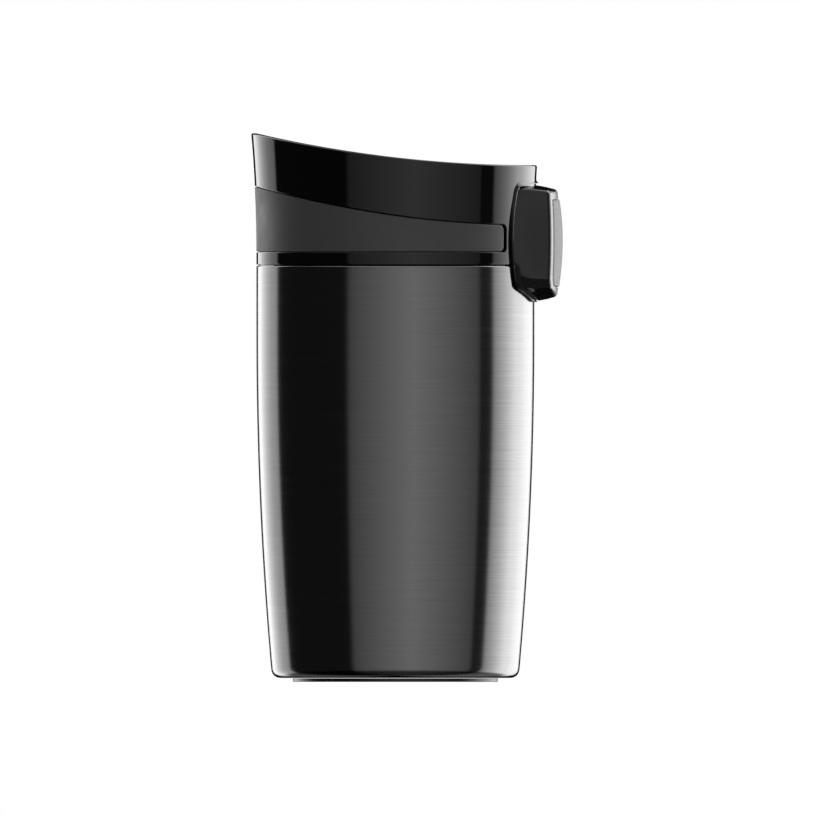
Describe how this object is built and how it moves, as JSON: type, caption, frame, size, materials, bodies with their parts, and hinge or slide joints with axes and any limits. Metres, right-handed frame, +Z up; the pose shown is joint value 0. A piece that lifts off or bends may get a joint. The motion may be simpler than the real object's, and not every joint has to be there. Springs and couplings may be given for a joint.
{
  "type": "insulated travel mug",
  "caption": "Compact vacuum-insulated travel mug: tapered black steel body, screw-in drinking lid with a raised rim, grip band and thumb lever that opens a valve.",
  "frame": {"origin": "centre of the foot's underside, on the mug's axis", "axes": "+Z up along the mug's axis, +X towards the thumb lever, so that the high drinking rim is on the -X side"},
  "size_m": [0.0875, 0.0798, 0.154],
  "materials": {
    "brushed_black_steel": "fine circumferential brushing under a thin black coat",
    "bare_steel": "bare stainless steel, satin",
    "spring_steel": "drawn stainless wire",
    "gloss_black": "polished black moulding",
    "grip_silicone": "matt dark grey silicone",
    "seal_silicone": "translucent grey silicone",
    "inner_plastic": "satin black moulding",
    "satin_aluminium": "satin silver",
    "foot_rubber": "smooth black rubber",
    "solder": "dull grey metal"
  },
  "bodies": {
    "mug": {"outer_shell": "brushed_black_steel", "inner_liner": "bare_steel", "base_plate": "bare_steel", "vacuum_seal": "solder", "getter": "solder", "foot_pad": "foot_rubber"},
    "neck_seal": {"neck_gasket": "seal_silicone"},
    "lid": {"lid_shell": "gloss_black", "grip_band": "grip_silicone", "lid_plug": "inner_plastic", "riser_gasket": "seal_silicone", "arm_boot": "seal_silicone", "flow_cap": "inner_plastic", "lever_pin": "spring_steel"},
    "lever": {"lever_body": "gloss_black", "lever_bezel": "satin_aluminium", "lever_plate": "satin_aluminium", "lever_spring": "spring_steel"},
    "valve": {"valve_stem": "inner_plastic", "valve_seal": "seal_silicone", "spring_cap": "inner_plastic", "valve_spring": "spring_steel"}
  },
  "joints": [
    {"name": "lid_lift", "type": "slide", "parent": "mug", "child": "neck_seal", "axis": [0, 0, 1], "range_m": [0, 0.00601]},
    {"name": "lid_turn", "type": "hinge", "parent": "neck_seal", "child": "lid", "pos_m": [0, 0, 0.1168], "axis": [0, 0, 1], "range_deg": [0, 180]},
    {"name": "lever_press", "type": "hinge", "parent": "lid", "child": "lever", "pos_m": [0.036, 0, 0.125], "axis": [0, -1, 0], "range_deg": [0, 7.5], "stiffness_Nm_per_rad": 0.3, "springref_deg": -5.73, "deforming": ["lever_spring", "arm_boot"]},
    {"name": "valve_travel", "type": "slide", "parent": "lid", "child": "valve", "axis": [0, 0, -1], "range_m": [0, 0.00472], "deforming": ["valve_spring"]}
  ],
  "couplings": [
    {"joint": "lid_lift", "follows": "lid_turn", "m_per_rad": 0.0019099},
    {"joint": "valve_travel", "follows": "lever_press", "m_per_rad": 0.036}
  ]
}
